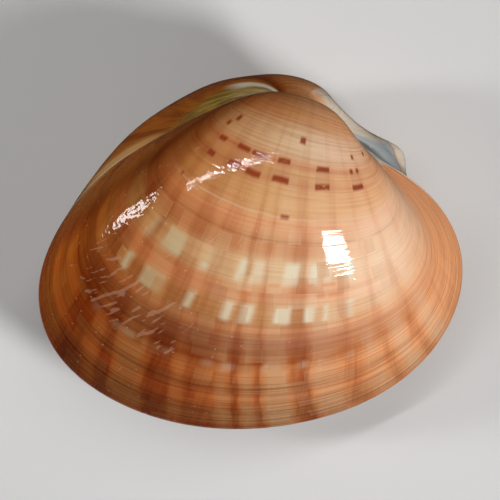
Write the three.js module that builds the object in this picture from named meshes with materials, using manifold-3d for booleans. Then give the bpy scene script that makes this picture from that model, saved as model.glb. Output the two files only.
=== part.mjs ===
// A closed clam shell lying on its left valve: two mirror valves and the horny ligament behind the beaks.
import * as THREE from "three";
import ManifoldModule from "manifold-3d";

// Size of the shell in millimetres
const LENGTH = 75;
const SEAM_GAP = 0.3;
const RIM_SHARE = 0.085;
const HINGE_SHARE = 0.16;
const FLAT_DEPTH = 0.3;

// Growth of a valve: it coils about the hinge axis while its margin gets larger
const COIL = 1.2824;
const COIL_EASE = 0.1488;
const HINGE_SLOPE = -0.2639;
const BROADENING = 0.6431;
const BEAK_STAGE = 0.03;
const CAVITY_STAGE = 0.25;

// Margin of a valve seen square on, from the beak: front end, belly, back end, back slope (shares of LENGTH)
const MARGIN = [
  [0.205, -0.09],
  [0.366, -0.184],
  [0.438, -0.335],
  [0.405, -0.513],
  [0.284, -0.667],
  [0.099, -0.764],
  [-0.11, -0.808],
  [-0.329, -0.783],
  [-0.525, -0.663],
  [-0.582, -0.462],
  [-0.501, -0.247],
  [-0.35, -0.116],
  [-0.178, -0.053],
  [0.013, -0.044],
];
const CAVITY_CENTER = [-0.06, -0.42];

// The pose it lies in, with the beak edge raised, in radians
const LIE_PITCH = 0.25;
const LIE_ROLL = 0.055;

// Ligament: its two ends along the margin and its section in millimetres
const LIGAMENT_FRONT = 0.955;
const LIGAMENT_BACK = 0.86;
const LIGAMENT_HALF_WIDTH = 1.5;
const LIGAMENT_HALF_HEIGHT = 1.6;
const LIGAMENT_LIFT = 1.3;

// Mesh fineness
const AROUND = 56;
const OUTER_ROWS = 25;
const INNER_ROWS = 7;
const LIGAMENT_RINGS = 14;
const LIGAMENT_SIDES = 14;

// Point of the margin at a share of the way round, on a closed cubic B-spline
function marginPoint(share) {
  const count = MARGIN.length;
  const place = (share - Math.floor(share)) * count;
  const first = Math.floor(place);
  const f = place - first;
  const weights = [
    (1 - f) ** 3,
    3 * f ** 3 - 6 * f ** 2 + 4,
    -3 * f ** 3 + 3 * f ** 2 + 3 * f + 1,
    f ** 3,
  ];
  let x = 0;
  let y = 0;
  for (let k = 0; k < 4; k += 1) {
    const control = MARGIN[(first + k - 1 + count) % count];
    x += (weights[k] * control[0]) / 6;
    y += (weights[k] * control[1]) / 6;
  }
  return [x, y];
}

// Point of the outside of the right valve at a growth stage (1 is the margin) and a share of the way round
function outsidePoint(stage, share) {
  const [x, y] = marginPoint(share);
  const cos = Math.cos(HINGE_SLOPE);
  const sin = Math.sin(HINGE_SLOPE);
  const age = Math.log(1 / stage);
  const turn = (COIL * age) / (1 + COIL_EASE * age);
  const along = (x * cos + y * sin) * stage * (1 + BROADENING * (1 - stage));
  const across = (y * cos - x * sin) * stage;
  const lowered = across * Math.cos(turn);
  return new THREE.Vector3(
    (along * cos - lowered * sin) * LENGTH,
    (along * sin + lowered * cos) * LENGTH,
    -across * Math.sin(turn) * LENGTH + SEAM_GAP / 2,
  );
}

// Share of the way to the cavity centre that the wall takes: wider along the hinge than along the belly
function wallShare(share) {
  const y = marginPoint(share)[1];
  const dorsal = THREE.MathUtils.smoothstep(y, -0.4, -0.1);
  return RIM_SHARE + (HINGE_SHARE - RIM_SHARE) * dorsal;
}

function insidePoint(stage, share) {
  const center = new THREE.Vector3(CAVITY_CENTER[0] * LENGTH, CAVITY_CENTER[1] * LENGTH, SEAM_GAP / 2);
  return outsidePoint(stage, share).lerp(center, wallShare(share));
}

// Closed skin through rings of points, each end closed to the middle of its ring
function ringSkin(rings) {
  const sides = rings[0].length;
  const points = rings.flat();
  const faces = [];
  for (let i = 0; i + 1 < rings.length; i += 1) {
    for (let j = 0; j < sides; j += 1) {
      const a = i * sides + j;
      const b = i * sides + ((j + 1) % sides);
      faces.push(a, b, a + sides, b, b + sides, a + sides);
    }
  }
  for (const end of [0, rings.length - 1]) {
    const middle = new THREE.Vector3();
    for (const point of rings[end]) {
      middle.addScaledVector(point, 1 / sides);
    }
    points.push(middle);
    for (let j = 0; j < sides; j += 1) {
      const a = end * sides + j;
      const b = end * sides + ((j + 1) % sides);
      if (end === 0) {
        faces.push(b, a, points.length - 1);
      } else {
        faces.push(a, b, points.length - 1);
      }
    }
  }
  return { points, faces };
}

const { Manifold, Mesh } = await (async () => {
  const kernel = await ManifoldModule();
  kernel.setup();
  return kernel;
})();

function solidOf({ points, faces }) {
  const volume = faces.reduce((sum, _, k) => {
    if (k % 3 !== 0) {
      return sum;
    }
    const [a, b, c] = [points[faces[k]], points[faces[k + 1]], points[faces[k + 2]]];
    return sum + a.dot(b.clone().cross(c)) / 6;
  }, 0);
  const turned = volume < 0 ? faces.toReversed() : faces;
  return new Manifold(
    new Mesh({
      numProp: 3,
      vertProperties: new Float32Array(points.flatMap((p) => [p.x, p.y, p.z])),
      triVerts: new Uint32Array(turned),
    }),
  );
}

// Right valve: from the bottom of the cavity out to the rim, across it and over the outside to the beak
function valveSkin() {
  const rings = [];
  for (let i = INNER_ROWS; i >= 0; i -= 1) {
    const stage = 1 - ((1 - CAVITY_STAGE) * i) / INNER_ROWS;
    rings.push(Array.from({ length: AROUND }, (_, j) => insidePoint(stage, j / AROUND)));
  }
  for (let i = 0; i <= OUTER_ROWS; i += 1) {
    const stage = BEAK_STAGE + (1 - BEAK_STAGE) * (1 - i / OUTER_ROWS) ** 1.4;
    rings.push(Array.from({ length: AROUND }, (_, j) => outsidePoint(stage, j / AROUND)));
  }
  return ringSkin(rings);
}

// Ligament: a rounded band along the seam behind the beaks, thinning to both ends
function ligamentSkin(clearance) {
  const rings = [];
  for (let i = 0; i <= LIGAMENT_RINGS; i += 1) {
    const way = i / LIGAMENT_RINGS;
    const share = LIGAMENT_FRONT + (LIGAMENT_BACK - LIGAMENT_FRONT) * way;
    const [x, y] = marginPoint(share);
    const [ahead, aheadY] = marginPoint(share + 0.01);
    const [behind, behindY] = marginPoint(share - 0.01);
    const along = new THREE.Vector3(ahead - behind, aheadY - behindY, 0).normalize();
    const up = new THREE.Vector3(-along.y, along.x, 0);
    const fullness = 0.45 + 0.55 * Math.sin(Math.PI * (0.08 + 0.84 * way)) ** 0.7;
    const middle = new THREE.Vector3(x * LENGTH, y * LENGTH, 0).addScaledVector(up, LIGAMENT_LIFT * fullness);
    if (i === 0) {
      middle.addScaledVector(along, clearance);
    }
    if (i === LIGAMENT_RINGS) {
      middle.addScaledVector(along, -clearance);
    }
    rings.push(
      Array.from({ length: LIGAMENT_SIDES }, (_, j) => {
        const angle = (2 * Math.PI * j) / LIGAMENT_SIDES;
        const high = (LIGAMENT_HALF_HEIGHT * fullness + clearance) * Math.sin(angle);
        const wide = (LIGAMENT_HALF_WIDTH * fullness + clearance) * Math.cos(angle);
        return middle.clone().addScaledVector(up, high).add(new THREE.Vector3(0, 0, wide));
      }),
    );
  }
  return ringSkin(rings);
}

// The three bodies in the frame of the shell, then laid on the left valve and centred over the origin
const toMatrix = (matrix) => matrix.elements;
const lie = new THREE.Matrix4()
  .makeRotationY(LIE_ROLL)
  .multiply(new THREE.Matrix4().makeRotationX(LIE_PITCH));
const mirror = new THREE.Matrix4().makeScale(1, 1, -1);
const seat = solidOf(ligamentSkin(SEAM_GAP));
const valve = solidOf(valveSkin()).subtract(seat);
const bodies = {
  right_valve: valve.transform(toMatrix(lie)),
  left_valve: valve.transform(toMatrix(lie.clone().multiply(mirror))),
  ligament: solidOf(ligamentSkin(0)).transform(toMatrix(lie)),
};
const floor = bodies.left_valve.boundingBox().min[2] + FLAT_DEPTH;
bodies.left_valve = bodies.left_valve.trimByPlane([0, 0, 1], floor);
const box = new THREE.Box3();
for (const body of Object.values(bodies)) {
  const { min, max } = body.boundingBox();
  box.expandByPoint(new THREE.Vector3(...min));
  box.expandByPoint(new THREE.Vector3(...max));
}
const middle = box.getCenter(new THREE.Vector3());

const COLORS = { right_valve: 0xc98a58, left_valve: 0xc98a58, ligament: 0x4a3a1e };

function meshOf(name) {
  const { vertProperties, triVerts } = bodies[name].translate([-middle.x, -middle.y, -floor]).getMesh();
  const geometry = new THREE.BufferGeometry();
  geometry.setAttribute("position", new THREE.BufferAttribute(new Float32Array(vertProperties), 3));
  geometry.setIndex(new THREE.BufferAttribute(new Uint32Array(triVerts), 1));
  geometry.computeVertexNormals();
  const mesh = new THREE.Mesh(geometry, new THREE.MeshStandardMaterial({ color: COLORS[name], roughness: 0.3 }));
  mesh.name = name;
  return mesh;
}

const shell = new THREE.Group();
shell.name = "clam_shell";
shell.add(meshOf("right_valve"), meshOf("left_valve"), meshOf("ligament"));

export default shell;
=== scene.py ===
from math import pi, radians

import bpy
import numpy as np
from mathutils import Matrix, Vector


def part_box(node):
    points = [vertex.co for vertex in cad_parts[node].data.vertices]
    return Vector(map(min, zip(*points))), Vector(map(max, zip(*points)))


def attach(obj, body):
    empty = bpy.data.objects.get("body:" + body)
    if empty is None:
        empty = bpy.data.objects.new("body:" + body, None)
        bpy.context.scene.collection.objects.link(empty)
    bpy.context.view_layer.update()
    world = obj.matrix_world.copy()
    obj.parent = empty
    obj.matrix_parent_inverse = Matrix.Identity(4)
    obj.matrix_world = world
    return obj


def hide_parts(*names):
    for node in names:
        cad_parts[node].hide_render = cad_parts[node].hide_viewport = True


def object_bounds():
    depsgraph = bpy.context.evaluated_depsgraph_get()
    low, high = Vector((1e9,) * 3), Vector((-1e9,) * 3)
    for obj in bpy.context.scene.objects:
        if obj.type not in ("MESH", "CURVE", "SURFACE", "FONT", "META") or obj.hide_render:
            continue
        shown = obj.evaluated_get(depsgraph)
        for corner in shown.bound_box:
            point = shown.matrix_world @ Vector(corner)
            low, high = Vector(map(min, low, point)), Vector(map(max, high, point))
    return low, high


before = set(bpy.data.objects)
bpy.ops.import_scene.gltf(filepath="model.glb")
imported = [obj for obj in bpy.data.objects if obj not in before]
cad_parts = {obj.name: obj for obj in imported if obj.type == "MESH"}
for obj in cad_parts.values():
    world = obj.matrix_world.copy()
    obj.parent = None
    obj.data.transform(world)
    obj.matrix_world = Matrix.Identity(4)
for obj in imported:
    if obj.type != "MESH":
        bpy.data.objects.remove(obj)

cad_low, cad_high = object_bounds()

# Right valve: the limy half that lies on top, with a low beak that curls over the hinge. It grows as its
# margin gets larger and coils about the hinge, which leaves fine growth lines under a porcelain gloss.
LENGTH = 0.075
SEAM_GAP = 0.0003
COIL = 1.2824
COIL_EASE = 0.1488
HINGE_SLOPE = -0.2639
BROADENING = 0.6431
BEAK_STAGE = 0.03
CAVITY_STAGE = 0.25
RIM_SHARE = 0.085
HINGE_SHARE = 0.16
CAVITY_CENTER = np.array([-0.06, -0.42])
LIE_PITCH = 0.25
LIE_ROLL = 0.055
INSIDE_CAD = 0.9975
MARGIN = np.array([
    [0.205, -0.09],
    [0.366, -0.184],
    [0.438, -0.335],
    [0.405, -0.513],
    [0.284, -0.667],
    [0.099, -0.764],
    [-0.11, -0.808],
    [-0.329, -0.783],
    [-0.53, -0.664],
    [-0.583, -0.461],
    [-0.48, -0.245],
    [-0.346, -0.112],
    [-0.178, -0.053],
    [0.013, -0.044],
])
ROWS_OUTSIDE = 256
ROWS_INSIDE = 20
ROW_CROWDING = 1.25
COLUMNS = 320
HINGE = np.array([np.cos(HINGE_SLOPE), np.sin(HINGE_SLOPE)])
HINGE_UP = np.array([-HINGE[1], HINGE[0]])

# Forms near the beaks: a full beak, and before it the lunule, a drawn-in flank with a rim that ends in a low
# nose. The left valve is a little fuller on its back slope and flatter behind its beak. Every form dies away
# before the margin, so that the valves still meet there.
FORM_FADE = (0.92, 1.0)
BEAK = {"share": 0.2987, "stage": 0.0885, "height": 0.00186, "reach": 0.2241, "span": 0.1041,
        "drift": 0.0, "heading": 0.2453}
FURROW = {"share": 0.093, "stage": 0.597, "height": -0.00223, "reach": 0.098, "span": 0.247,
          "drift": -0.084, "heading": 0.373}
HOLLOW = {"share": 0.2956, "stage": 0.1942, "height": -0.00245, "reach": 0.0898, "span": 0.0811,
          "drift": 0.0, "heading": 0.504}
NOSE = {"share": 0.2307, "stage": 0.3707, "height": 0.00232, "reach": 0.0398, "span": 0.0682,
        "drift": -0.015, "heading": 0.598}
BACK_SLOPE = {"share": 0.7043, "stage": 0.6693, "height": 0.00093, "reach": 0.07, "span": 0.2241,
              "drift": 0.0, "heading": 2.2}
CROWN = {"share": 0.6057, "stage": 0.2148, "height": -0.00085, "reach": 0.0854, "span": 0.1147,
         "drift": 0.0, "heading": 1.57}


def smooth_step(low, high, value):
    t = np.clip((value - low) / (high - low), 0, 1)
    return t * t * (3 - 2 * t)


def margin_points(shares):
    """Points of the margin on its closed cubic B-spline, as shares of the length."""
    place = (shares % 1.0) * len(MARGIN)
    first = np.floor(place).astype(int)
    f = (place - first)[:, None]
    weights = [(1 - f) ** 3, 3 * f**3 - 6 * f**2 + 4, -3 * f**3 + 3 * f**2 + 3 * f + 1, f**3]
    controls = [MARGIN[(first + k - 1) % len(MARGIN)] for k in range(4)]
    return sum(w * c for w, c in zip(weights, controls)) / 6


def swelling(form, stages, shares):
    """Push of a local swelling or furrow across the hinge plane, in metres."""
    around = (shares - form["share"] + 0.5) % 1.0 - 0.5
    stage = stages[:, None]
    off_share = (around[None] - form["drift"] * (stage - form["stage"])) / form["reach"]
    off_stage = (stage - form["stage"]) / form["span"]
    height = form["height"] * np.exp(-off_share**2 - off_stage**2) * (1 - smooth_step(*FORM_FADE, stage))
    heading = np.array([np.cos(form["heading"]), np.sin(form["heading"]), 0.0])
    return height[..., None] * heading


def grown_points(stages, shares, forms):
    """Points of the outside at growth stages (1 is the margin) and shares of the way round."""
    margin = margin_points(shares)
    age = np.log(1 / stages)[:, None]
    turn = COIL * age / (1 + COIL_EASE * age)
    along = (margin @ HINGE)[None] * (stages * (1 + BROADENING * (1 - stages)))[:, None]
    across = (margin @ HINGE_UP)[None] * stages[:, None]
    lowered = across * np.cos(turn)
    flat = along[..., None] * HINGE + lowered[..., None] * HINGE_UP
    points = np.dstack((flat, -across * np.sin(turn))) * LENGTH
    points[..., 2] += SEAM_GAP / 2
    for form in forms:
        points += swelling(form, stages, shares)
    return points


def grid_normals(points):
    round_way = np.roll(points, -1, axis=1) - np.roll(points, 1, axis=1)
    beak_way = np.gradient(points, axis=0)
    normals = np.cross(round_way, beak_way)
    normals /= np.linalg.norm(normals, axis=2, keepdims=True) + 1e-12
    return normals


# Growth pauses: deeper lines on the outside as (stage, depth in metres)
GROWTH_PAUSES = [(0.395, 0.00002), (0.47, 0.00002), (0.66, 0.00003), (0.735, 0.00003), (0.81, 0.00005),
                 (0.872, 0.00004), (0.905, 0.00006), (0.935, 0.00005), (0.957, 0.00004), (0.976, 0.00004)]
PAUSE_WIDTH = 0.0055

# Growth lines: two rows of fine ridges whose distances sway, fainter on the young shell and gone at the lip.
# They run ahead of the plain growth stage at both ends of the shell.
LINE_HEIGHT = 0.000014
LINE_ROWS = [
    {"count": 31, "sway": 1.1, "sways": 9, "strength": 1.0},
    {"count": 53, "sway": 0.9, "sways": 23, "strength": 0.7},
]
LINE_WAVER = 0.002
WAVERS_ROUND = 3
WAVER_START = 0.2
YOUNG_LINES = 0.35
FULL_LINES_FROM = (0.55, 0.95)
SMOOTH_BEAK = (0.12, 0.4)
SMOOTH_LIP = (0.985, 1.0)
FRONT_BEND = {"from": 0.27, "to": 0.05, "amount": 3.9}
BACK_BEND = {"from": 0.6, "to": 0.74, "amount": 11.0}
BEND_TOP = 1.3


def growth_relief(stages, shares):
    """Height of the growth lines above the plain outside, in metres."""
    front = np.clip(FRONT_BEND["from"] - shares, 0, FRONT_BEND["from"] - FRONT_BEND["to"])
    back = np.clip(shares - BACK_BEND["from"], 0, BACK_BEND["to"] - BACK_BEND["from"])
    bend = FRONT_BEND["amount"] * front**2 + BACK_BEND["amount"] * back**2
    waver = LINE_WAVER * np.sin(2 * np.pi * (WAVERS_ROUND * shares + WAVER_START))
    stage = stages[:, None] + waver[None] + bend[None] * (BEND_TOP - stages[:, None])
    lines = np.zeros_like(stage)
    for row in LINE_ROWS:
        sway = row["sway"] * np.sin(row["sways"] * stage)
        lines += row["strength"] * np.sin(2 * np.pi * (row["count"] * stage + sway))
    height = LINE_HEIGHT * lines * (YOUNG_LINES + (1 - YOUNG_LINES) * smooth_step(*FULL_LINES_FROM, stage))
    for pause, depth in GROWTH_PAUSES:
        height -= depth * np.exp(-(((stage - pause) / PAUSE_WIDTH) ** 2))
    lip_fade = 1 - smooth_step(*SMOOTH_LIP, stages)[:, None]
    return height * smooth_step(*SMOOTH_BEAK, stages)[:, None] * lip_fade


# Wall of a valve: it gets thicker from the belly to the hinge, over this span of the margin's height
HINGE_FROM = (-0.4, -0.1)


def wall_shares(shares):
    dorsal = smooth_step(*HINGE_FROM, margin_points(shares)[:, 1])
    return RIM_SHARE + (HINGE_SHARE - RIM_SHARE) * dorsal


def lying(points):
    """Points turned from the shell's own frame into the balanced pose it lies in."""
    turn = Matrix.Rotation(LIE_ROLL, 3, "Y") @ Matrix.Rotation(LIE_PITCH, 3, "X")
    return points @ np.array(turn).T


# Ligament bed: the axis and section of the band behind the beaks, which both valves leave room for
LIGAMENT_FRONT = 0.955
LIGAMENT_BACK = 0.86
LIGAMENT_HALF_WIDTH = 0.0015
LIGAMENT_HALF_HEIGHT = 0.0016
LIGAMENT_LIFT = 0.0013
LIGAMENT_RINGS = 72
LIGAMENT_END_FULLNESS = 0.45
LIGAMENT_END_CUT = 0.08
LIGAMENT_SWELL = 0.7
TANGENT_STEP = 0.01
LEAST_OFFSET = 0.05


def ligament_axis():
    """Middle points, up directions and fullness along the ligament, from its front to its back end."""
    way = np.linspace(0, 1, LIGAMENT_RINGS)
    shares = LIGAMENT_FRONT + (LIGAMENT_BACK - LIGAMENT_FRONT) * way
    along = margin_points(shares + TANGENT_STEP) - margin_points(shares - TANGENT_STEP)
    along /= np.linalg.norm(along, axis=1, keepdims=True)
    up = np.stack((-along[:, 1], along[:, 0], np.zeros(LIGAMENT_RINGS)), -1)
    swell = np.sin(np.pi * (LIGAMENT_END_CUT + (1 - 2 * LIGAMENT_END_CUT) * way)) ** LIGAMENT_SWELL
    fullness = LIGAMENT_END_FULLNESS + (1 - LIGAMENT_END_FULLNESS) * swell
    middle = np.column_stack((margin_points(shares) * LENGTH, np.zeros(LIGAMENT_RINGS)))
    return middle + up * (LIGAMENT_LIFT * fullness)[:, None], up, fullness


def clear_of_ligament(points):
    """Points pushed out of the ligament's bed, so that the valves close round it with a fine gap."""
    middle, up, fullness = ligament_axis()
    flat = points.reshape(-1, 3).copy()
    reach = 3 * LIGAMENT_HALF_HEIGHT
    near = np.flatnonzero(np.all((flat > middle.min(0) - reach) & (flat < middle.max(0) + reach), axis=1))
    nearest = np.linalg.norm(flat[near, None] - middle[None], axis=2).argmin(1)
    offset = flat[near] - middle[nearest]
    high = np.sum(offset * up[nearest], axis=1)
    wide = offset[:, 2]
    end = np.linalg.norm(offset - high[:, None] * up[nearest] - wide[:, None] * np.array([0, 0, 1]), axis=1)
    half_high = LIGAMENT_HALF_HEIGHT * fullness[nearest] + SEAM_GAP
    half_wide = LIGAMENT_HALF_WIDTH * fullness[nearest] + SEAM_GAP
    size = np.sqrt((high / half_high) ** 2 + (wide / half_wide) ** 2)
    push = np.where((size < 1) & (end < SEAM_GAP), 1 / np.maximum(size, LEAST_OFFSET), 1.0)
    moved = middle[nearest] + up[nearest] * (high * push)[:, None]
    moved[:, 2] += wide * push
    keep_end = offset - high[:, None] * up[nearest]
    keep_end[:, 2] = 0
    flat[near] = np.where((push > 1)[:, None], moved + keep_end, flat[near])
    return flat.reshape(points.shape)


def valve_rings(forms):
    """Rings of a valve from the cavity over the rim to the beak, and the stage of each ring."""
    shares = np.arange(COLUMNS) / COLUMNS
    inner_stages = np.linspace(CAVITY_STAGE, 1, ROWS_INSIDE)
    center = np.append(CAVITY_CENTER * LENGTH, SEAM_GAP / 2)
    inside = grown_points(inner_stages, shares, forms)
    inside += wall_shares(shares)[None, :, None] * (center - inside)
    outer_stages = BEAK_STAGE + (1 - BEAK_STAGE) * np.linspace(1, 0, ROWS_OUTSIDE) ** ROW_CROWDING
    outside = grown_points(outer_stages, shares, forms)
    normals = grid_normals(outside)
    if np.mean(normals[ROWS_OUTSIDE // 2, :, 2]) < 0:
        normals = -normals
    outside += normals * growth_relief(outer_stages, shares)[..., None]
    rings = clear_of_ligament(np.concatenate((inside, outside)))
    return rings, np.concatenate((inner_stages, outer_stages))


plain_rings, valve_ring_stages = valve_rings([])
right_low, right_high = (np.array(corner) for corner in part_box("right_valve"))
lying_plain = lying(plain_rings.reshape(-1, 3))
SHELL_SHIFT = (right_low + right_high) / 2 - (lying_plain.min(0) + lying_plain.max(0)) / 2


def placed(points):
    """Points of the shell's own frame at their place in the row frame, a hair inside the solid."""
    middle = np.array((cad_low + cad_high) / 2)
    return middle + (lying(points) + SHELL_SHIFT - middle) * INSIDE_CAD


SHARP_EDGE = radians(38)


def ring_object(name, rings, shares, stages, mirrored, materials, inner_rows=0):
    """One closed mesh through rings of points, with a growth map (share of the way round, stage)."""
    count, columns = rings.shape[:2]
    points = rings.reshape(-1, 3)
    points = np.vstack((points, rings[0].mean(0), rings[-1].mean(0)))
    row, column = np.meshgrid(np.arange(count - 1), np.arange(columns), indexing="ij")
    a = row * columns + column
    b = row * columns + (column + 1) % columns
    quads = np.stack((a, b, b + columns, a + columns), -1).reshape(-1, 4)
    ends = np.arange(columns)
    first_fan = np.stack(((ends + 1) % columns, ends, np.full(columns, count * columns)), -1)
    last = (count - 1) * columns
    last_fan = np.stack((last + ends, last + (ends + 1) % columns, np.full(columns, count * columns + 1)), -1)
    fans = np.vstack((first_fan, last_fan))
    if not mirrored:
        quads = quads[:, ::-1]
        fans = fans[:, ::-1]
    mesh = bpy.data.meshes.new(name)
    mesh.from_pydata(points.tolist(), [], quads.tolist() + fans.tolist())
    shares = np.append(np.tile(shares, count), (0.5, 0.5))
    heights = np.append(np.repeat(stages, columns), (stages[0], stages[-1]))
    corners = np.empty(len(mesh.loops), dtype=np.int32)
    mesh.loops.foreach_get("vertex_index", corners)
    share = shares[corners]
    faces = np.repeat(np.arange(len(quads)), 4)
    wraps = np.zeros(len(corners), dtype=bool)
    wraps[: len(faces)] = (faces % columns == columns - 1) & (share[: len(faces)] < 0.5)
    share[wraps] += 1
    growth = mesh.uv_layers.new(name="growth")
    growth.data.foreach_set("uv", np.stack((share, heights[corners]), -1).ravel().astype(np.float32))
    mesh.polygons.foreach_set("use_smooth", np.ones(len(mesh.polygons), dtype=bool))
    for material in materials:
        mesh.materials.append(material)
    slots = np.zeros(len(mesh.polygons), dtype=np.int32)
    if inner_rows:
        slots[: inner_rows * columns] = 1
        slots[len(quads): len(quads) + columns] = 1
    mesh.polygons.foreach_set("material_index", slots)
    mesh.set_sharp_from_angle(angle=SHARP_EDGE)
    mesh.validate()
    made = bpy.data.objects.new(name, mesh)
    bpy.context.collection.objects.link(made)
    return made


def add_node(tree, kind, inputs=None, **settings):
    """A node with its settings, and each input set to a value or linked to a socket."""
    made = tree.nodes.new(kind)
    for key, value in settings.items():
        setattr(made, key, value)
    for key, value in (inputs or {}).items():
        if isinstance(value, bpy.types.NodeSocket):
            tree.links.new(value, made.inputs[key])
        elif isinstance(value, tuple):
            made.inputs[key].default_value = (*value, 1.0)
        else:
            made.inputs[key].default_value = value
    return made


def math_node(tree, operation, first, second=0.0, third=0.0):
    return add_node(tree, "ShaderNodeMath", {0: first, 1: second, 2: third}, operation=operation).outputs[0]


def product(tree, *factors):
    total = factors[0]
    for factor in factors[1:]:
        total = math_node(tree, "MULTIPLY", total, factor)
    return total


def rise(tree, value, low, high):
    """Smooth step from 0 at the low value to 1 at the high one."""
    inputs = {0: value, 1: low, 2: high}
    return add_node(tree, "ShaderNodeMapRange", inputs, interpolation_type="SMOOTHSTEP").outputs[0]


def mix_colors(tree, factor, under, over, blend="MIX"):
    inputs = {0: factor, 6: under, 7: over}
    made = add_node(tree, "ShaderNodeMix", inputs, data_type="RGBA", blend_type=blend, clamp_factor=True)
    return made.outputs[2]


def ramp(tree, factor, stops, interpolation="LINEAR"):
    """Colour ramp whose stops are (place, grey level or colour)."""
    made = add_node(tree, "ShaderNodeValToRGB", {0: factor})
    made.color_ramp.interpolation = interpolation
    elements = made.color_ramp.elements
    for index, (place, value) in enumerate(stops):
        element = elements[index] if index < 2 else elements.new(place)
        element.position = place
        color = (value, value, value) if isinstance(value, (int, float)) else value
        element.color = (*color, 1.0)
    return made.outputs[0]


def stripes(tree, value, spans, softness):
    """Mask that is 1 inside each (from, to) span and falls to 0 over a softness on both sides."""
    total = None
    for low, high in spans:
        up = rise(tree, value, low - softness, low + softness)
        down = rise(tree, value, high - softness, high + softness)
        span = math_node(tree, "SUBTRACT", up, down)
        total = span if total is None else math_node(tree, "MAXIMUM", total, span)
    return total


def ring_noise(tree, spot, around, along, detail=2.0, roughness=0.5):
    """Noise on the growth map that closes round the shell, scaled around it and along the growth."""
    ring_x, ring_y, stage = spot
    place = add_node(tree, "ShaderNodeCombineXYZ", {
        0: math_node(tree, "MULTIPLY", ring_x, around / (2 * pi)),
        1: math_node(tree, "MULTIPLY", ring_y, around / (2 * pi)),
        2: math_node(tree, "MULTIPLY", stage, along),
    }).outputs[0]
    inputs = {"Vector": place, "Scale": 1.0, "Detail": detail, "Roughness": roughness}
    return add_node(tree, "ShaderNodeTexNoise", inputs).outputs[0]


def swayed(tree, value, noise, amount):
    """Value moved to both sides by a noise, by half the amount at most."""
    return math_node(tree, "SUBTRACT", math_node(tree, "MULTIPLY_ADD", noise, amount, value), amount / 2)


def patch_mask(tree, share, stage, patch):
    """Mask of one soft-edged patch, from its span round the shell and its span of growth stages."""
    around = stripes(tree, share, [patch["share"]], patch["share_edge"])
    along = stripes(tree, stage, [patch["stage"]], patch["stage_edge"])
    return product(tree, around, along, patch["amount"])


# Colours of the outside in linear light
PEACH = (0.82, 0.39, 0.185)
PALE_PEACH = (0.88, 0.66, 0.48)
STRAW = (0.56, 0.33, 0.17)
PALE_STRAW = (0.68, 0.45, 0.26)
IVORY = (0.7, 0.55, 0.39)
BUFF = (0.78, 0.63, 0.48)
UMBER = (0.64, 0.35, 0.18)
PINK = (0.74, 0.42, 0.27)
ROSE = (0.66, 0.36, 0.22)
ORANGE = (0.58, 0.26, 0.11)
CLAY = (0.58, 0.31, 0.18)
PLUM = (0.4, 0.185, 0.125)
MAUVE = (0.42, 0.17, 0.085)
RUST = (0.42, 0.12, 0.03)
CREAM = (0.78, 0.7, 0.53)
WINDOW = (0.7, 0.65, 0.49)
DEEP_WINDOW = (0.45, 0.36, 0.2)
DASH_ORANGE = (0.6, 0.2, 0.06)
CHECK_RED = (0.24, 0.032, 0.008)
DARK_LINE = (0.16, 0.045, 0.012)
BROWN_RAY = (0.45, 0.17, 0.05)
OLIVE = (0.1, 0.075, 0.014)
OLIVE_GOLD = (0.42, 0.28, 0.06)
GOLD = (0.64, 0.36, 0.13)
AMBER = (0.33, 0.1, 0.014)
FLAME = (0.2, 0.045, 0.008)
PORCELAIN = (0.37, 0.39, 0.395)
BAND_WHITE = (0.62, 0.54, 0.43)
BAND_BROWN = (0.4, 0.25, 0.14)
LIP_WHITE = (0.75, 0.7, 0.66)
WORN = (0.6, 0.35, 0.23)

# Ground: the colour of each growth stage, from the beak to the margin. It is banded over the middle and the
# back, and plain peach with a pale cloud towards the front end, where a painted lit patch on the brow stands
# for the light falling there.
GROUND = [
    (0.1, UMBER), (0.18, UMBER), (0.22, BUFF), (0.265, BUFF), (0.285, ROSE), (0.3, PALE_STRAW), (0.325, CLAY),
    (0.34, PALE_STRAW), (0.385, PALE_STRAW), (0.415, PINK), (0.44, CLAY), (0.47, CLAY), (0.488, IVORY),
    (0.525, IVORY), (0.545, ROSE), (0.57, ROSE), (0.585, STRAW), (0.62, STRAW), (0.64, ROSE), (0.672, PLUM),
    (0.71, MAUVE), (0.728, RUST), (0.742, ORANGE), (0.77, PEACH), (0.8, ORANGE), (0.82, ORANGE),
    (0.84, PEACH), (0.865, PEACH), (0.885, ORANGE), (0.92, STRAW), (0.95, CLAY), (0.975, ORANGE),
]
BANDING = [(0.12, 0.12), (0.27, 0.4), (0.38, 0.85), (0.46, 1.0), (0.75, 0.9)]
PALE_CLOUD = {"share": (0.22, 0.35), "share_edge": 0.05, "stage": (0.4, 0.61), "stage_edge": 0.05,
              "amount": 0.6}
PAINTED_LIGHT_BROW = {"share": (0.08, 0.21), "share_edge": 0.04, "stage": (0.36, 0.62), "stage_edge": 0.08,
             "amount": 0.4}


def ground_color(group, share, stage, plain_stage):
    """Colour of the ground with a painted lit patch on the front brow, and how clearly it is banded."""
    banding = ramp(group, share, BANDING)
    color = mix_colors(group, banding, PEACH, ramp(group, stage, GROUND))
    color = mix_colors(group, patch_mask(group, share, stage, PALE_CLOUD), color, PALE_PEACH)
    # Painted light: the brow over the front furrow is paled as if fully lit, against the furrow's shade
    color = mix_colors(group, patch_mask(group, share, plain_stage, PAINTED_LIGHT_BROW), color, PALE_PEACH)
    return color, banding


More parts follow.
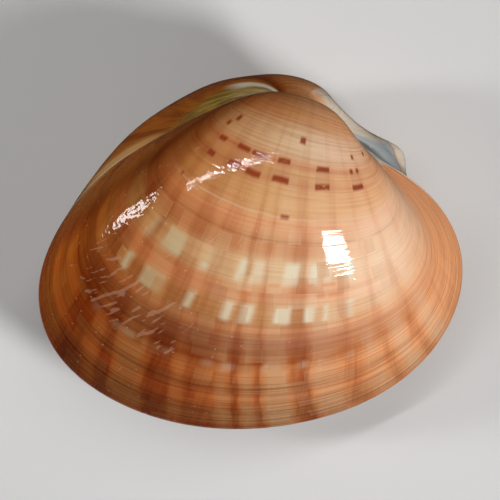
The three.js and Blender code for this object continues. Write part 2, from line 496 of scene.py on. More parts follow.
# Rays: how much paler (above 0) or darker the outside is round the shell, from the front end to the back end.
# They lean towards the front end as the shell grows, with faint fine ones between, and are strongest near
# the margin.
RAYS = [
    (0.0, 0.0), (0.2, -0.1), (0.228, 0.5), (0.245, -0.3), (0.265, 0.6), (0.282, -0.25), (0.298, 0.35),
    (0.32, -0.3), (0.345, 0.55), (0.355, 0.45), (0.363, -0.45), (0.376, -0.3), (0.384, 0.8), (0.398, 0.95),
    (0.407, -0.35), (0.418, 0.8), (0.428, -0.5), (0.438, 0.75), (0.447, -0.15), (0.466, -0.33), (0.477, 0.2),
    (0.486, -0.45), (0.501, -0.5), (0.51, 0.45), (0.528, 0.6), (0.535, -0.4), (0.543, -0.4), (0.551, 0.2),
    (0.568, -0.5), (0.578, -0.5), (0.6, 0.15), (0.7, 0.0),
]
RAY_MIDDLE = 0.5
RAY_LEAN = 0.07
RAY_LEAN_FROM = 0.82
RAY_STRENGTH = [(0.16, 0.1), (0.3, 0.25), (0.42, 0.35), (0.5, 0.5), (0.62, 0.55), (0.68, 0.4), (0.76, 1.0)]
RAY_DARKNESS = [(0.12, 0.1), (0.2, 0.6), (0.36, 1.0)]
DARK_RAY_GAIN = 3.0
FINE_RAY_STRENGTH = 0.3


def ray_color(group, color, spot, share, leaning, stage):
    """Dark and pale rays laid over the ground."""
    rays = ramp(group, leaning, [(place, RAY_MIDDLE + RAY_MIDDLE * level) for place, level in RAYS], "EASE")
    fine_rays = ring_noise(group, spot, around=200.0, along=3.0, roughness=0.6)
    to_middle = -RAY_MIDDLE - FINE_RAY_STRENGTH / 2
    fine_rays = math_node(group, "MULTIPLY_ADD", fine_rays, FINE_RAY_STRENGTH, to_middle)
    rays = product(group, math_node(group, "ADD", rays, fine_rays), ramp(group, stage, RAY_STRENGTH))
    dark = math_node(group, "MAXIMUM", product(group, rays, -DARK_RAY_GAIN), 0.0)
    dark = product(group, dark, ramp(group, share, RAY_DARKNESS))
    color = mix_colors(group, dark, color, BROWN_RAY, "MULTIPLY")
    return mix_colors(group, math_node(group, "MAXIMUM", rays, 0.0), color, CREAM)


# Mosaic: pale and brown blocks bounded by the rays and the growth lines. There are so many columns to a round
# of the shell and so many rows to a unit of growth stage.
BLOCK_COLUMNS = 62.0
BLOCK_ROWS = 29.0
BLOCK_CHANCE = (0.6, 0.95)
BLOCK_STRENGTH = 0.3
MOTTLING = [(0.16, 0.1), (0.4, 0.25), (0.47, 1.0), (0.62, 1.0), (0.66, 0.4), (0.8, 0.7)]


def mosaic_color(group, color, leaning, stage, seed, banding):
    """Blocks laid over the colour, and a spare chance for each block."""
    row = math_node(group, "FLOOR", math_node(group, "MULTIPLY_ADD", stage, BLOCK_ROWS, seed))
    row_shift = add_node(group, "ShaderNodeTexWhiteNoise", {"W": row}, noise_dimensions="1D").outputs[0]
    column = math_node(group, "FLOOR", math_node(group, "MULTIPLY_ADD", leaning, BLOCK_COLUMNS, row_shift))
    place = add_node(group, "ShaderNodeCombineXYZ", {0: column, 1: row}).outputs[0]
    blocks = add_node(group, "ShaderNodeTexWhiteNoise", {"Vector": place}, noise_dimensions="2D")
    pale, brown, spare = add_node(group, "ShaderNodeSeparateColor", {0: blocks.outputs["Color"]}).outputs
    mottled = product(group, banding, ramp(group, stage, MOTTLING))
    pale = product(group, rise(group, pale, *BLOCK_CHANCE), mottled, BLOCK_STRENGTH)
    color = mix_colors(group, pale, color, CREAM)
    brown = product(group, rise(group, brown, *BLOCK_CHANCE), mottled, BLOCK_STRENGTH)
    return mix_colors(group, brown, color, BROWN_RAY, "MULTIPLY"), spare


# Dark growth lines as (stage, half width, strength), broken here and there, over a fine dark striping
DARK_LINES = [
    (0.443, 0.003, 0.3), (0.663, 0.006, 0.25), (0.7, 0.008, 0.3), (0.73, 0.003, 0.4), (0.765, 0.003, 0.2),
    (0.811, 0.004, 0.6), (0.838, 0.002, 0.3), (0.872, 0.003, 0.6), (0.886, 0.002, 0.6), (0.905, 0.003, 0.85),
    (0.927, 0.002, 0.55), (0.948, 0.004, 0.5), (0.968, 0.002, 0.5), (0.982, 0.003, 0.5),
]
LINE_GAPS = (0.3, 0.6)
LINE_CLEARNESS = [(0.08, 0.6), (0.3, 0.7), (0.38, 1.0), (0.65, 1.0), (0.8, 0.5)]
STRIPING_EDGE = (0.42, 0.68)
STRIPING_STRENGTH = [(0.1, 0.35), (0.32, 0.25), (0.42, 0.15), (0.6, 0.2), (0.8, 0.4), (1.0, 0.6)]


def line_color(group, color, spot, share, stage):
    """Striping along the growth, then the single dark lines, laid over the colour."""
    striping = ring_noise(group, spot, around=5.0, along=190.0, detail=3.0, roughness=0.65)
    striping = product(group, rise(group, striping, *STRIPING_EDGE), ramp(group, stage, STRIPING_STRENGTH))
    color = mix_colors(group, striping, color, BROWN_RAY, "MULTIPLY")
    broken = rise(group, ring_noise(group, spot, around=22.0, along=40.0, detail=3.0), *LINE_GAPS)
    broken = product(group, broken, ramp(group, share, LINE_CLEARNESS))
    for middle, half_width, amount in DARK_LINES:
        line = stripes(group, stage, [(middle - half_width / 2, middle + half_width / 2)], half_width)
        color = mix_colors(group, product(group, line, broken, amount), color, DARK_LINE)
    return color


# Depth of the pigment and painted shade: the colour deepens to a warm brown towards the back end and towards
# the margin, partly as deeper pigment and partly as painted shade where the light falls off, and is darkest
# on the back shoulder and along the back edge
DEEP_BACK_AND_SHADE = [
    (0.1, (0.88, 0.86, 0.86)), (0.22, (1.0, 1.0, 1.0)), (0.36, (0.98, 0.9, 0.82)), (0.46, (0.86, 0.68, 0.5)),
    (0.56, (0.7, 0.44, 0.24)), (0.68, (0.7, 0.32, 0.06)), (0.82, (0.6, 0.4, 0.2)), (0.9, (1.0, 1.0, 1.0)),
]
DEEP_MARGIN_AND_SHADE = [
    (0.6, (1.0, 1.0, 1.0)), (0.7, (0.95, 0.88, 0.8)), (0.85, (0.92, 0.8, 0.66)), (1.0, (0.82, 0.64, 0.46)),
]
# Painted shade of the lower flank, as multipliers round the shell, partly the dark pigment of the rays there
PAINTED_FLANK_SHADE = [
    (0.36, (1.0, 1.0, 1.0)), (0.44, (0.86, 0.78, 0.7)), (0.51, (0.68, 0.62, 0.52)),
    (0.57, (0.74, 0.64, 0.42)), (0.64, (0.95, 0.92, 0.5)),
]
FLANK_SHADE_FROM = (0.58, 0.68)
# Painted shade of the back shoulder and the back edge, partly darker olive-brown pigment on the shoulder
PAINTED_SHADE_BROWN = (0.4, 0.29, 0.2)
SHADED_SHOULDER_FROM = (0.55, 0.66)
SHADED_SHOULDER_END = (0.68, 0.45)
SHADED_BACK_EDGE = (0.655, 0.7)
SHADED_BACK_EDGE_SOFT = 0.02
SHADED_BACK_EDGE_END = (0.95, 0.75)


def deep_and_shaded_color(group, color, share, stage, banding):
    """Colour deepened towards the back end and the margin, partly as pigment and partly as painted shade."""
    color = mix_colors(group, 1.0, color, ramp(group, share, DEEP_BACK_AND_SHADE), "MULTIPLY")
    color = mix_colors(group, banding, color, ramp(group, stage, DEEP_MARGIN_AND_SHADE), "MULTIPLY")
    # Painted shade: the lower flank is darkened where it turns away from the key light
    flank_shade = rise(group, stage, *FLANK_SHADE_FROM)
    color = mix_colors(group, flank_shade, color, ramp(group, share, PAINTED_FLANK_SHADE), "MULTIPLY")
    # Painted shade on the back shoulder near the beak, which faces away from the key light
    shoulder_shade = product(group, rise(group, share, *SHADED_SHOULDER_FROM), rise(group, stage, *SHADED_SHOULDER_END))
    color = mix_colors(group, shoulder_shade, color, PAINTED_SHADE_BROWN, "MULTIPLY")
    # Painted shade along the back edge, where the outside turns away from the lamps
    back_edge_shade = stripes(group, share, [SHADED_BACK_EDGE], SHADED_BACK_EDGE_SOFT)
    back_edge_shade = product(group, back_edge_shade, rise(group, stage, *SHADED_BACK_EDGE_END))
    return mix_colors(group, back_edge_shade, color, PAINTED_SHADE_BROWN, "MULTIPLY")


# Pale squares: cream windows in the pale rays, in three rows of stages, deeper towards the back end
PALE_ROWS = [(0.488, 0.532), (0.58, 0.622), (0.728, 0.75)]
PALE_SPANS = [
    (0.322, 0.33), (0.352, 0.357), (0.367, 0.377), (0.392, 0.409), (0.432, 0.444), (0.453, 0.462),
    (0.492, 0.499), (0.524, 0.547), (0.563, 0.571),
]
PALE_ROW_EDGE = 0.008
PALE_SPAN_EDGE = 0.004
PALE_ROW_STRENGTH = [(0.64, 0.9), (0.7, 0.25)]
LEAST_PALE = 0.3
DEEP_WINDOW_FROM = (0.42, 0.55)

# Dashes: short orange marks between the rows of squares, as spans round the shell in each row of stages
DASH_ROWS = [
    ((0.553, 0.563), [(0.335, 0.353), (0.357, 0.367), (0.378, 0.397), (0.44, 0.452)]),
    ((0.53, 0.538), [(0.345, 0.361), (0.372, 0.388), (0.41, 0.424)]),
    ((0.738, 0.747), [(0.352, 0.363), (0.376, 0.391), (0.402, 0.41)]),
]
DASH_ROW_EDGE = 0.005
DASH_SPAN_EDGE = 0.003
DASH_STRENGTH = 0.5

# Checks: dark red-brown marks in rows near the beak, with a mauve shade between the two main rows
CHECK_ROWS = [
    ((0.318, 0.331), [(0.282, 0.309), (0.357, 0.384), (0.43, 0.458), (0.477, 0.5), (0.51, 0.53),
                      (0.556, 0.57)]),
    ((0.279, 0.291), [(0.282, 0.29), (0.299, 0.308), (0.357, 0.383), (0.435, 0.458), (0.477, 0.504),
                      (0.509, 0.531), (0.555, 0.571)]),
    ((0.245, 0.257), [(0.228, 0.239), (0.286, 0.294), (0.575, 0.584)]),
    ((0.222, 0.238), [(0.414, 0.427), (0.563, 0.573)]),
    ((0.389, 0.398), [(0.418, 0.43), (0.577, 0.583)]),
]
CHECK_ROW_EDGE = 0.004
CHECK_SPAN_EDGE = 0.002
CHECK_WEAR = (0.1, 0.42)
CHECK_STRENGTH = 0.9
CHECK_SHADE_ROW = (0.285, 0.327)
CHECK_SHADE_EDGE = 0.008
CHECK_SHADE = 0.3

# Pale line of an early growth pause, with gaps, that ends before the back end
PAUSE_LINE = (0.394, 0.396)
PAUSE_EDGE = 0.003
PAUSE_GAPS = (0.3, 0.5)
PAUSE_END = (0.62, 0.54)
PAUSE_STRENGTH = 0.35


def mark_color(group, color, spot, share, stage, chance, wander):
    """Squares, dashes, checks and the pale line laid over the colour."""
    squares = stripes(group, share, PALE_SPANS, PALE_SPAN_EDGE)
    squares = product(group, squares, stripes(group, stage, PALE_ROWS, PALE_ROW_EDGE))
    patchy = math_node(group, "MULTIPLY_ADD", chance, 1 - LEAST_PALE, LEAST_PALE)
    patchy = product(group, patchy, ramp(group, stage, PALE_ROW_STRENGTH))
    window = mix_colors(group, rise(group, share, *DEEP_WINDOW_FROM), WINDOW, DEEP_WINDOW)
    color = mix_colors(group, product(group, squares, patchy), color, window)
    for row, spans in DASH_ROWS:
        dashes = stripes(group, share, spans, DASH_SPAN_EDGE)
        dashes = product(group, dashes, stripes(group, stage, [row], DASH_ROW_EDGE), DASH_STRENGTH)
        color = mix_colors(group, dashes, color, DASH_ORANGE)
    shaded = stripes(group, share, CHECK_ROWS[0][1], CHECK_SPAN_EDGE)
    shaded = product(group, shaded, stripes(group, stage, [CHECK_SHADE_ROW], CHECK_SHADE_EDGE), CHECK_SHADE)
    color = mix_colors(group, shaded, color, MAUVE)
    worn_edge = rise(group, ring_noise(group, spot, around=90.0, along=110.0), *CHECK_WEAR)
    for row, spans in CHECK_ROWS:
        checks = stripes(group, share, spans, CHECK_SPAN_EDGE)
        checks = product(group, checks, stripes(group, stage, [row], CHECK_ROW_EDGE))
        checks = product(group, checks, worn_edge, CHECK_STRENGTH)
        color = mix_colors(group, checks, color, CHECK_RED)
    pause = product(group, stripes(group, stage, [PAUSE_LINE], PAUSE_EDGE), rise(group, wander, *PAUSE_GAPS))
    pause = product(group, pause, rise(group, share, *PAUSE_END), PAUSE_STRENGTH)
    return mix_colors(group, pause, color, CREAM)


# Back slope: slanted flames between the last rays and the escutcheon, golden along the margin
SLOPE = (0.67, 0.83)
SLOPE_EDGE = 0.025
SLOPE_STRENGTH = 0.75
FLAME_SLANT = -1.7
FLAME_EDGE = (0.45, 0.6)
FLAME_STRENGTH = 0.8
GOLDEN = (0.715, 0.8)
GOLDEN_EDGE = 0.02
GOLDEN_FROM = (0.84, 0.95)
GOLDEN_STRENGTH = 0.8


def slope_color(group, color, spot, share, stage):
    """Flames of the back slope laid over the colour."""
    slant = math_node(group, "MULTIPLY_ADD", share, FLAME_SLANT, stage)
    flames = ring_noise(group, (spot[0], spot[1], slant), around=5.0, along=9.0)
    slope = stripes(group, share, [SLOPE], SLOPE_EDGE)
    color = mix_colors(group, product(group, slope, SLOPE_STRENGTH), color, AMBER)
    flame = product(group, rise(group, flames, *FLAME_EDGE), slope, FLAME_STRENGTH)
    color = mix_colors(group, flame, color, FLAME)
    golden = product(group, stripes(group, share, [GOLDEN], GOLDEN_EDGE), rise(group, stage, *GOLDEN_FROM))
    return mix_colors(group, product(group, golden, GOLDEN_STRENGTH), color, GOLD)


# Escutcheon behind the beaks: an olive, polished hollow with a cream crescent along its edge near the beak
ESCUTCHEON_AT_MARGIN = 0.808
ESCUTCHEON_FLARE = 0.14
ESCUTCHEON_POWER = 3.0
ESCUTCHEON_EDGE = (-0.012, 0.014)
ESCUTCHEON_FRONT = (0.945, 0.925)
ESCUTCHEON_STRENGTH = 0.85
OLIVE_STREAKS = (0.3, 0.75)
CRESCENT = (-0.012, 0.022)
CRESCENT_EDGE = 0.01
CRESCENT_END = (0.36, 0.22)
CRESCENT_STRENGTH = 0.85


def escutcheon_color(group, color, spot, share, stage):
    """Escutcheon laid over the colour."""
    older = math_node(group, "SUBTRACT", 1.0, stage)
    flare = product(group, math_node(group, "POWER", older, ESCUTCHEON_POWER), ESCUTCHEON_FLARE)
    inward = math_node(group, "SUBTRACT", share, math_node(group, "SUBTRACT", ESCUTCHEON_AT_MARGIN, flare))
    hollow = product(group, rise(group, inward, *ESCUTCHEON_EDGE), rise(group, share, *ESCUTCHEON_FRONT))
    streaks = ring_noise(group, spot, around=160.0, along=5.0, detail=3.0, roughness=0.6)
    olive = mix_colors(group, rise(group, streaks, *OLIVE_STREAKS), OLIVE, OLIVE_GOLD)
    color = mix_colors(group, product(group, hollow, ESCUTCHEON_STRENGTH), color, olive)
    crescent = stripes(group, inward, [CRESCENT], CRESCENT_EDGE)
    crescent = product(group, crescent, rise(group, stage, *CRESCENT_END), CRESCENT_STRENGTH)
    return mix_colors(group, crescent, color, BAND_WHITE)


# Lunule before the beaks: a porcelain-grey hollow, a thin brown line round it and a white band outside it,
# with painted shade over a brownish stain where the hollow runs deep
LUNULE_AT_MARGIN = 0.06
RIGHT_LUNULE_FLARE = 0.08
LEFT_LUNULE_FLARE = 0.42
LUNULE_POWER = 1.5
LUNULE_WRAP = (0.6, -0.4)
LUNULE_RIM = 0.055
LUNULE_EDGE = 0.004
LUNULE_BACK = (-0.09, -0.06)
LUNULE_TOP = (0.28, 0.33)
LUNULE_BAND_EDGE = (0.014, 0.002)
LUNULE_BAND_TOP = (0.05, 0.08)
LUNULE_BAND_STRENGTH = 0.95
SERRATION = (0.45, 0.75)
SERRATION_STRENGTH = 0.45
# Painted shade and a brownish stain deep in the lunule's hollow near the commissure
LUNULE_SHADE_AND_STAIN = (0.09, 0.085, 0.06)
LUNULE_SHADE_SPAN = (0.42, 0.57)
LUNULE_SHADE_EDGE = 0.04
LUNULE_SHADE_SIDE = (0.09, 0.04)
LUNULE_SHADE_STRENGTH = 0.9
LUNULE_LINE = (0.007, 0.002)
LUNULE_LINE_STRENGTH = 0.45


def lunule_color(group, color, spot, share, stage, lunule_flare):
    """Lunule laid over the colour, with painted shade and a stain in its deep hollow."""
    ahead = math_node(group, "WRAP", share, *LUNULE_WRAP)
    before_beak = rise(group, ahead, *LUNULE_BACK)
    older = math_node(group, "SUBTRACT", 1.0, stage)
    flare = math_node(group, "ADD", math_node(group, "POWER", older, LUNULE_POWER), LUNULE_AT_MARGIN)
    outward = math_node(group, "SUBTRACT", ahead, product(group, flare, lunule_flare))
    below_beak = product(group, rise(group, stage, *LUNULE_BAND_TOP), before_beak)
    band = product(group, rise(group, outward, *LUNULE_BAND_EDGE), below_beak, LUNULE_BAND_STRENGTH)
    serrate = rise(group, ring_noise(group, spot, around=12.0, along=150.0), *SERRATION)
    band_color = mix_colors(group, product(group, serrate, SERRATION_STRENGTH), BAND_WHITE, BAND_BROWN)
    color = mix_colors(group, band, color, band_color)
    hollow = rise(group, outward, LUNULE_EDGE - LUNULE_RIM, -LUNULE_EDGE - LUNULE_RIM)
    hollow = product(group, hollow, rise(group, stage, *LUNULE_TOP), before_beak)
    color = mix_colors(group, hollow, color, PORCELAIN)
    # Painted shade where the hollow runs deep under the beaks, over a brownish stain
    hollow_shade = product(group, hollow, stripes(group, stage, [LUNULE_SHADE_SPAN], LUNULE_SHADE_EDGE))
    hollow_shade = product(group, hollow_shade, rise(group, ahead, *LUNULE_SHADE_SIDE), LUNULE_SHADE_STRENGTH)
    color = mix_colors(group, hollow_shade, color, LUNULE_SHADE_AND_STAIN)
    off_line = math_node(group, "ABSOLUTE", math_node(group, "ADD", outward, LUNULE_RIM))
    line = product(group, rise(group, off_line, *LUNULE_LINE), below_beak, LUNULE_LINE_STRENGTH)
    return mix_colors(group, line, color, RUST)


# Wear: slanted scratches in one patch, a few elsewhere, and small pale specks
SCRATCHED = {"share": (0.49, 0.61), "share_edge": 0.025, "stage": (0.61, 0.75), "stage_edge": 0.025,
             "amount": 0.19}
SCRATCH_SLANT = -0.22
SCRATCH_SCALE = (150.0, 16.0)
SCRATCH_EDGE = (0.74, 0.79)
SCRATCH_STRENGTH = 0.26
SPECK_SCALE = (90.0, 34.0)
SPECK_CHANCE = (0.86, 0.9)
SPECK_SIZE = (0.085, 0.05)
SPECK_STRENGTH = 0.45


def wear_masks(group, share, stage, seeded):
    """Masks of the scratches and of all wear."""
    slant = math_node(group, "MULTIPLY_ADD", stage, SCRATCH_SLANT, share)
    scratch_place = add_node(group, "ShaderNodeCombineXYZ", {
        0: product(group, slant, SCRATCH_SCALE[0]),
        1: product(group, seeded, SCRATCH_SCALE[1]),
    }).outputs[0]
    inputs = {"Vector": scratch_place, "Scale": 1.0, "Detail": 3.0}
    strokes = add_node(group, "ShaderNodeTexNoise", inputs, noise_dimensions="2D").outputs[0]
    strokes = math_node(group, "ADD", patch_mask(group, share, stage, SCRATCHED), strokes)
    scratches = rise(group, strokes, *SCRATCH_EDGE)
    speck_place = add_node(group, "ShaderNodeCombineXYZ", {
        0: product(group, share, SPECK_SCALE[0]),
        1: product(group, seeded, SPECK_SCALE[1]),
    }).outputs[0]
    inputs = {"Vector": speck_place, "Scale": 1.0}
    cells = add_node(group, "ShaderNodeTexVoronoi", inputs, voronoi_dimensions="2D").outputs
    chance = add_node(group, "ShaderNodeSeparateColor", {0: cells["Color"]}).outputs[0]
    specks = product(group, rise(group, cells["Distance"], *SPECK_SIZE), rise(group, chance, *SPECK_CHANCE))
    specks = product(group, specks, SPECK_STRENGTH)
    return scratches, math_node(group, "MAXIMUM", product(group, scratches, SCRATCH_STRENGTH), specks)


# Surface: fine growth striae, pits that deepen towards the back end, and a satin finish where it is worn
PIT_DEPTH = [(0.34, 0.05), (0.46, 0.3), (0.55, 0.35), (0.59, 1.1), (0.7, 1.1)]
SCRATCH_DEPTH = -0.3
GLOSS_ROUGHNESS = 0.01
SATIN_ROUGHNESS = 0.03
WORN_ROUGHNESS = 0.3


def surface_values(group, spot, share, scratches, worn):
    """Roughness and height of the surface."""
    striae = ring_noise(group, spot, around=9.0, along=130.0)
    pits = ring_noise(group, spot, around=150.0, along=90.0, detail=1.0)
    height = math_node(group, "MULTIPLY_ADD", pits, ramp(group, share, PIT_DEPTH), striae)
    height = math_node(group, "MULTIPLY_ADD", scratches, SCRATCH_DEPTH, height)
    satin = ring_noise(group, spot, around=40.0, along=20.0, detail=3.0, roughness=0.6)
    roughness = math_node(group, "MULTIPLY_ADD", satin, SATIN_ROUGHNESS, GLOSS_ROUGHNESS)
    return math_node(group, "MULTIPLY_ADD", worn, WORN_ROUGHNESS, roughness), height


def growth_bend(group, share, stage):
    """How far the growth lines run ahead of the plain growth stage at both ends of the shell."""
    front = math_node(group, "MAXIMUM", share, FRONT_BEND["to"])
    front = math_node(group, "SUBTRACT", FRONT_BEND["from"], front)
    front = math_node(group, "POWER", math_node(group, "MAXIMUM", front, 0.0), 2.0)
    back = math_node(group, "MINIMUM", share, BACK_BEND["to"])
    back = math_node(group, "SUBTRACT", back, BACK_BEND["from"])
    back = math_node(group, "POWER", math_node(group, "MAXIMUM", back, 0.0), 2.0)
    front = product(group, front, FRONT_BEND["amount"])
    bend = math_node(group, "MULTIPLY_ADD", back, BACK_BEND["amount"], front)
    return product(group, bend, math_node(group, "SUBTRACT", BEND_TOP, stage))


# Growth map: a slight sway of the rays and of the growth lines, and the pale lip at the margin
SHARE_SWAY = 0.005
STAGE_SWAY = 0.014
LIP = (0.992, 0.999)
LIP_STRENGTH = 0.3


def valve_pattern_group():
    """Node group that turns the growth map into the colour, roughness and line height of the outside."""
    group = bpy.data.node_groups.new("valve_pattern", "ShaderNodeTree")
    for name in ("Share", "Stage", "Seed", "Lunule"):
        group.interface.new_socket(name, in_out="INPUT", socket_type="NodeSocketFloat")
    group.interface.new_socket("Color", in_out="OUTPUT", socket_type="NodeSocketColor")
    group.interface.new_socket("Roughness", in_out="OUTPUT", socket_type="NodeSocketFloat")
    group.interface.new_socket("Height", in_out="OUTPUT", socket_type="NodeSocketFloat")
    given = group.nodes.new("NodeGroupInput").outputs
    angle = math_node(group, "MULTIPLY", given["Share"], 2 * pi)
    seeded = math_node(group, "ADD", given["Stage"], given["Seed"])
    spot = (math_node(group, "COSINE", angle), math_node(group, "SINE", angle), seeded)

    share = swayed(group, given["Share"], ring_noise(group, spot, around=60.0, along=16.0), SHARE_SWAY)
    wander = ring_noise(group, spot, around=14.0, along=6.0)
    plain_stage = swayed(group, given["Stage"], wander, STAGE_SWAY)
    stage = math_node(group, "ADD", plain_stage, growth_bend(group, given["Share"], plain_stage))
    upright = math_node(group, "SUBTRACT", share, RAY_LEAN * RAY_LEAN_FROM)
    leaning = math_node(group, "MULTIPLY_ADD", stage, RAY_LEAN, upright)

    color, banding = ground_color(group, share, stage, plain_stage)
    color = ray_color(group, color, spot, share, leaning, stage)
    color, chance = mosaic_color(group, color, leaning, stage, given["Seed"], banding)
    color = line_color(group, color, spot, share, stage)
    color = deep_and_shaded_color(group, color, share, stage, banding)
    color = mark_color(group, color, spot, share, stage, chance, wander)
    color = slope_color(group, color, spot, share, plain_stage)
    color = escutcheon_color(group, color, spot, share, plain_stage)
    color = lunule_color(group, color, spot, share, plain_stage, given["Lunule"])
    lip = product(group, rise(group, given["Stage"], *LIP), LIP_STRENGTH)
    color = mix_colors(group, lip, color, LIP_WHITE)
    scratches, worn = wear_masks(group, given["Share"], given["Stage"], seeded)
    color = mix_colors(group, worn, color, WORN)
    roughness, height = surface_values(group, spot, share, scratches, worn)

    given_back = group.nodes.new("NodeGroupOutput")
    group.links.new(color, given_back.inputs["Color"])
    group.links.new(roughness, given_back.inputs["Roughness"])
    group.links.new(height, given_back.inputs["Height"])
    return group


valve_pattern = valve_pattern_group()
BUMP_STRENGTH = 0.6
BUMP_DEPTH = 0.0001
SHELL_IOR = 1.42


def outside_material(name, seed, lunule_flare):
    """Glossy limy outside of a valve: the pattern under a clear, porcelain-like surface."""
    material = bpy.data.materials.new(name)
    material.use_nodes = True
    tree = material.node_tree
    shader = tree.nodes["Principled BSDF"]
    growth = add_node(tree, "ShaderNodeUVMap", uv_map="growth").outputs[0]
    parts = add_node(tree, "ShaderNodeSeparateXYZ", {0: growth})
    pattern = tree.nodes.new("ShaderNodeGroup")
    pattern.node_tree = valve_pattern
    tree.links.new(parts.outputs[0], pattern.inputs["Share"])
    tree.links.new(parts.outputs[1], pattern.inputs["Stage"])
    pattern.inputs["Seed"].default_value = seed
    pattern.inputs["Lunule"].default_value = lunule_flare
    tree.links.new(pattern.outputs["Color"], shader.inputs["Base Color"])
    tree.links.new(pattern.outputs["Roughness"], shader.inputs["Roughness"])
    bump = add_node(tree, "ShaderNodeBump", {
        "Strength": BUMP_STRENGTH, "Distance": BUMP_DEPTH, "Height": pattern.outputs["Height"],
    })
    tree.links.new(bump.outputs[0], shader.inputs["Normal"])
    shader.inputs["IOR"].default_value = SHELL_IOR
    return material


# Inside of the valves: porcelain white with a faint warm stain
STAINED_WHITE = (0.72, 0.66, 0.6)
INSIDE_WHITE = (0.78, 0.74, 0.7)
STAIN_SCALE = 7.0
INSIDE_ROUGHNESS = 0.35


def inside_material():
    """Porcelain-white inside of the valves with a faint warm stain and a satin gloss."""
    material = bpy.data.materials.new("valve_inside")
    material.use_nodes = True
    tree = material.node_tree
    shader = tree.nodes["Principled BSDF"]
    growth = add_node(tree, "ShaderNodeUVMap", uv_map="growth").outputs[0]
    inputs = {"Vector": growth, "Scale": STAIN_SCALE, "Detail": 4.0}
    stain = add_node(tree, "ShaderNodeTexNoise", inputs).outputs[0]
    color = ramp(tree, stain, [(0.35, STAINED_WHITE), (0.7, INSIDE_WHITE)])
    tree.links.new(color, shader.inputs["Base Color"])
    shader.inputs["Roughness"].default_value = INSIDE_ROUGHNESS
    return material


RIGHT_SEED = 0.0
valve_inside = inside_material()
valve_shares = np.arange(COLUMNS) / COLUMNS
right_rings, _ = valve_rings([FURROW, BEAK])
right_outside = outside_material("right_valve_outside", RIGHT_SEED, RIGHT_LUNULE_FLARE)
right_valve = ring_object("right_valve_shell", placed(right_rings), valve_shares, valve_ring_stages, False,
                          [right_outside, valve_inside], ROWS_INSIDE)
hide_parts("right_valve")
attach(right_valve, "root")

# Left valve: the mirror half underneath, of the same limy shell. It shows its lunule and escutcheon behind
# the right valve's beak, and its lowest part is flattened where the shell lies on it.
LEFT_SEED = 3.7
left_rings, _ = valve_rings([FURROW, BEAK, HOLLOW, NOSE, BACK_SLOPE, CROWN])
left_points = placed(left_rings * np.array([1, 1, -1]))
left_points[..., 2] = np.maximum(left_points[..., 2], 0.0)
left_outside = outside_material("left_valve_outside", LEFT_SEED, LEFT_LUNULE_FLARE)
left_valve = ring_object("left_valve_shell", left_points, valve_shares, valve_ring_stages, True,
                         [left_outside, valve_inside], ROWS_INSIDE)
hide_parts("left_valve")
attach(left_valve, "root")

# Ligament: the horny, springy band that joins the valves behind the beaks. It is made of lengthwise fibres,
# dried to a dark olive-brown, and sits in the bed between the two hinge plates.
LIGAMENT_SIDES = 48
FIBRE_HEIGHT = 0.00004
FIBRE_COUNT = 9
HORN_DARK = (0.035, 0.02, 0.006)
HORN_LIGHT = (0.2, 0.13, 0.045)
HORN_ROUGHNESS = 0.15
FIBRE_ROUGHNESS = 0.3
FIBRE_BUMP = 0.5


def ligament_rings():
    """Rings of the ligament from its front to its back end, with raised fibres along it."""
    middle, up, fullness = ligament_axis()
    angles = np.linspace(0, 2 * np.pi, LIGAMENT_SIDES, endpoint=False)
    fibres = FIBRE_HEIGHT * (np.cos(FIBRE_COUNT * angles) - 1)
    high = (LIGAMENT_HALF_HEIGHT * fullness[:, None] + fibres) * np.sin(angles)
    wide = (LIGAMENT_HALF_WIDTH * fullness[:, None] + fibres) * np.cos(angles)
    return middle[:, None] + up[:, None] * high[..., None] + wide[..., None] * np.array([0, 0, 1])


def horn_material():
    """Dried horn: dark olive-brown with paler fibres along the band and a dull gloss."""
    material = bpy.data.materials.new("ligament_horn")
    material.use_nodes = True
    tree = material.node_tree
    shader = tree.nodes["Principled BSDF"]
    growth = add_node(tree, "ShaderNodeUVMap", uv_map="growth").outputs[0]
    parts = add_node(tree, "ShaderNodeSeparateXYZ", {0: growth})
    angle = math_node(tree, "MULTIPLY", parts.outputs[0], 2 * pi)
    spot = (math_node(tree, "COSINE", angle), math_node(tree, "SINE", angle), parts.outputs[1])
    fibres = ring_noise(tree, spot, around=60.0, along=5.0, detail=4.0, roughness=0.6)
    color = ramp(tree, fibres, [(0.3, HORN_DARK), (0.75, HORN_LIGHT)])
    tree.links.new(color, shader.inputs["Base Color"])
    roughness = math_node(tree, "MULTIPLY_ADD", fibres, FIBRE_ROUGHNESS, HORN_ROUGHNESS)
    tree.links.new(roughness, shader.inputs["Roughness"])
    inputs = {"Strength": FIBRE_BUMP, "Distance": BUMP_DEPTH, "Height": fibres}
    bump = add_node(tree, "ShaderNodeBump", inputs)
    tree.links.new(bump.outputs[0], shader.inputs["Normal"])
    return material


ligament_shares = np.arange(LIGAMENT_SIDES) / LIGAMENT_SIDES
ligament_way = np.linspace(0, 1, LIGAMENT_RINGS)
ligament = ring_object("ligament_band", placed(ligament_rings()), ligament_shares, ligament_way, False,
                       [horn_material()])
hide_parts("ligament")
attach(ligament, "root")

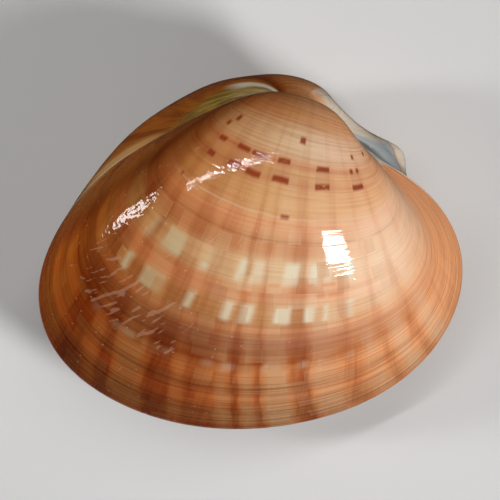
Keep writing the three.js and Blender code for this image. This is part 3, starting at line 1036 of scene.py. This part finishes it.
# Floor: a pale, matt sheet that the shell lies on. It is kept out of the mirror reflections, so that the
# gloss of the shell stays clear.
FLOOR_HALF = 3.0
FLOOR_COLOR = (0.62, 0.615, 0.61, 1)
FLOOR_ROUGHNESS = 0.8
floor_corners = [(-FLOOR_HALF, -FLOOR_HALF, 0), (FLOOR_HALF, -FLOOR_HALF, 0),
                 (FLOOR_HALF, FLOOR_HALF, 0), (-FLOOR_HALF, FLOOR_HALF, 0)]
floor_mesh = bpy.data.meshes.new("floor")
floor_mesh.from_pydata(floor_corners, [], [(0, 1, 2, 3)])
floor = bpy.data.objects.new("floor", floor_mesh)
bpy.context.collection.objects.link(floor)
floor_material = bpy.data.materials.new("pale_floor")
floor_material.use_nodes = True
floor_shader = floor_material.node_tree.nodes["Principled BSDF"]
floor_shader.inputs["Base Color"].default_value = FLOOR_COLOR
floor_shader.inputs["Roughness"].default_value = FLOOR_ROUGHNESS
floor_mesh.materials.append(floor_material)
floor.visible_glossy = False

# Studio lights: a small soft box on the right, a tall one low on the left and a long strip behind make the
# three highlights. A wide fill from the front softens the shadows and isn't mirrored in the gloss.
LIGHT_DISTANCE = 0.6
LIGHT_AIM = Vector((0, 0, 0.025))
STUDIO_TINT = (1, 0.98, 0.95, 1)
STUDIO_STRENGTH = 0.025


def soft_box(name, direction, width, height, watts, roll, spread=180):
    """Flat lamp that looks at the shell from a direction, turned about its own axis by a roll in radians."""
    light = bpy.data.lights.new(name, "AREA")
    light.shape = "RECTANGLE"
    light.size = width
    light.size_y = height
    light.energy = watts
    light.spread = radians(spread)
    lamp = bpy.data.objects.new(name, light)
    bpy.context.collection.objects.link(lamp)
    aim = Vector(direction).normalized()
    lamp.location = LIGHT_AIM + aim * LIGHT_DISTANCE
    lamp.rotation_euler = (aim.to_track_quat("Z", "Y").to_matrix() @ Matrix.Rotation(roll, 3, "Z")).to_euler()
    return lamp


soft_box("soft_box_right", (0.7, -0.295, 0.65), width=0.175, height=0.085, watts=0.21, roll=0.41, spread=44)
soft_box("soft_box_left", (-0.862, 0.02, 0.507), width=0.075, height=0.28, watts=1.3, roll=0.24)
soft_box("strip_back", (0.004, 0.407, 0.914), width=0.57, height=0.007, watts=1.1, roll=0.56)
fill = soft_box("fill_front", (-0.55, -0.6, 0.58), width=0.45, height=0.45, watts=0.35, roll=0.0)
fill.visible_glossy = False
world = bpy.data.worlds.new("studio")
bpy.context.scene.world = world
world.use_nodes = True
world.node_tree.nodes["Background"].inputs["Color"].default_value = STUDIO_TINT
world.node_tree.nodes["Background"].inputs["Strength"].default_value = STUDIO_STRENGTH

# Camera: nearly straight above, a little towards the beaks and the front end, with a long lens so that the
# shell is seen almost without perspective.
CAMERA_PLACE = Vector((0.06412, 0.04592, 0.54677))
CAMERA_AIM = Vector((0.0001, 0.00104, 0.023))
CAMERA_UP = Vector((-0.0973, 0.9926, -0.0732))
CAMERA_LENS = 221.26
camera_data = bpy.data.cameras.new("camera")
camera_data.lens = CAMERA_LENS
camera_data.clip_start = 0.01
camera = bpy.data.objects.new("camera", camera_data)
bpy.context.collection.objects.link(camera)
back = (CAMERA_PLACE - CAMERA_AIM).normalized()
right = CAMERA_UP.cross(back).normalized()
camera_turn = Matrix((right, back.cross(right), back)).transposed()
camera.matrix_world = Matrix.Translation(CAMERA_PLACE) @ camera_turn.to_4x4()
bpy.context.scene.camera = camera
bpy.context.scene.view_settings.view_transform = "Standard"
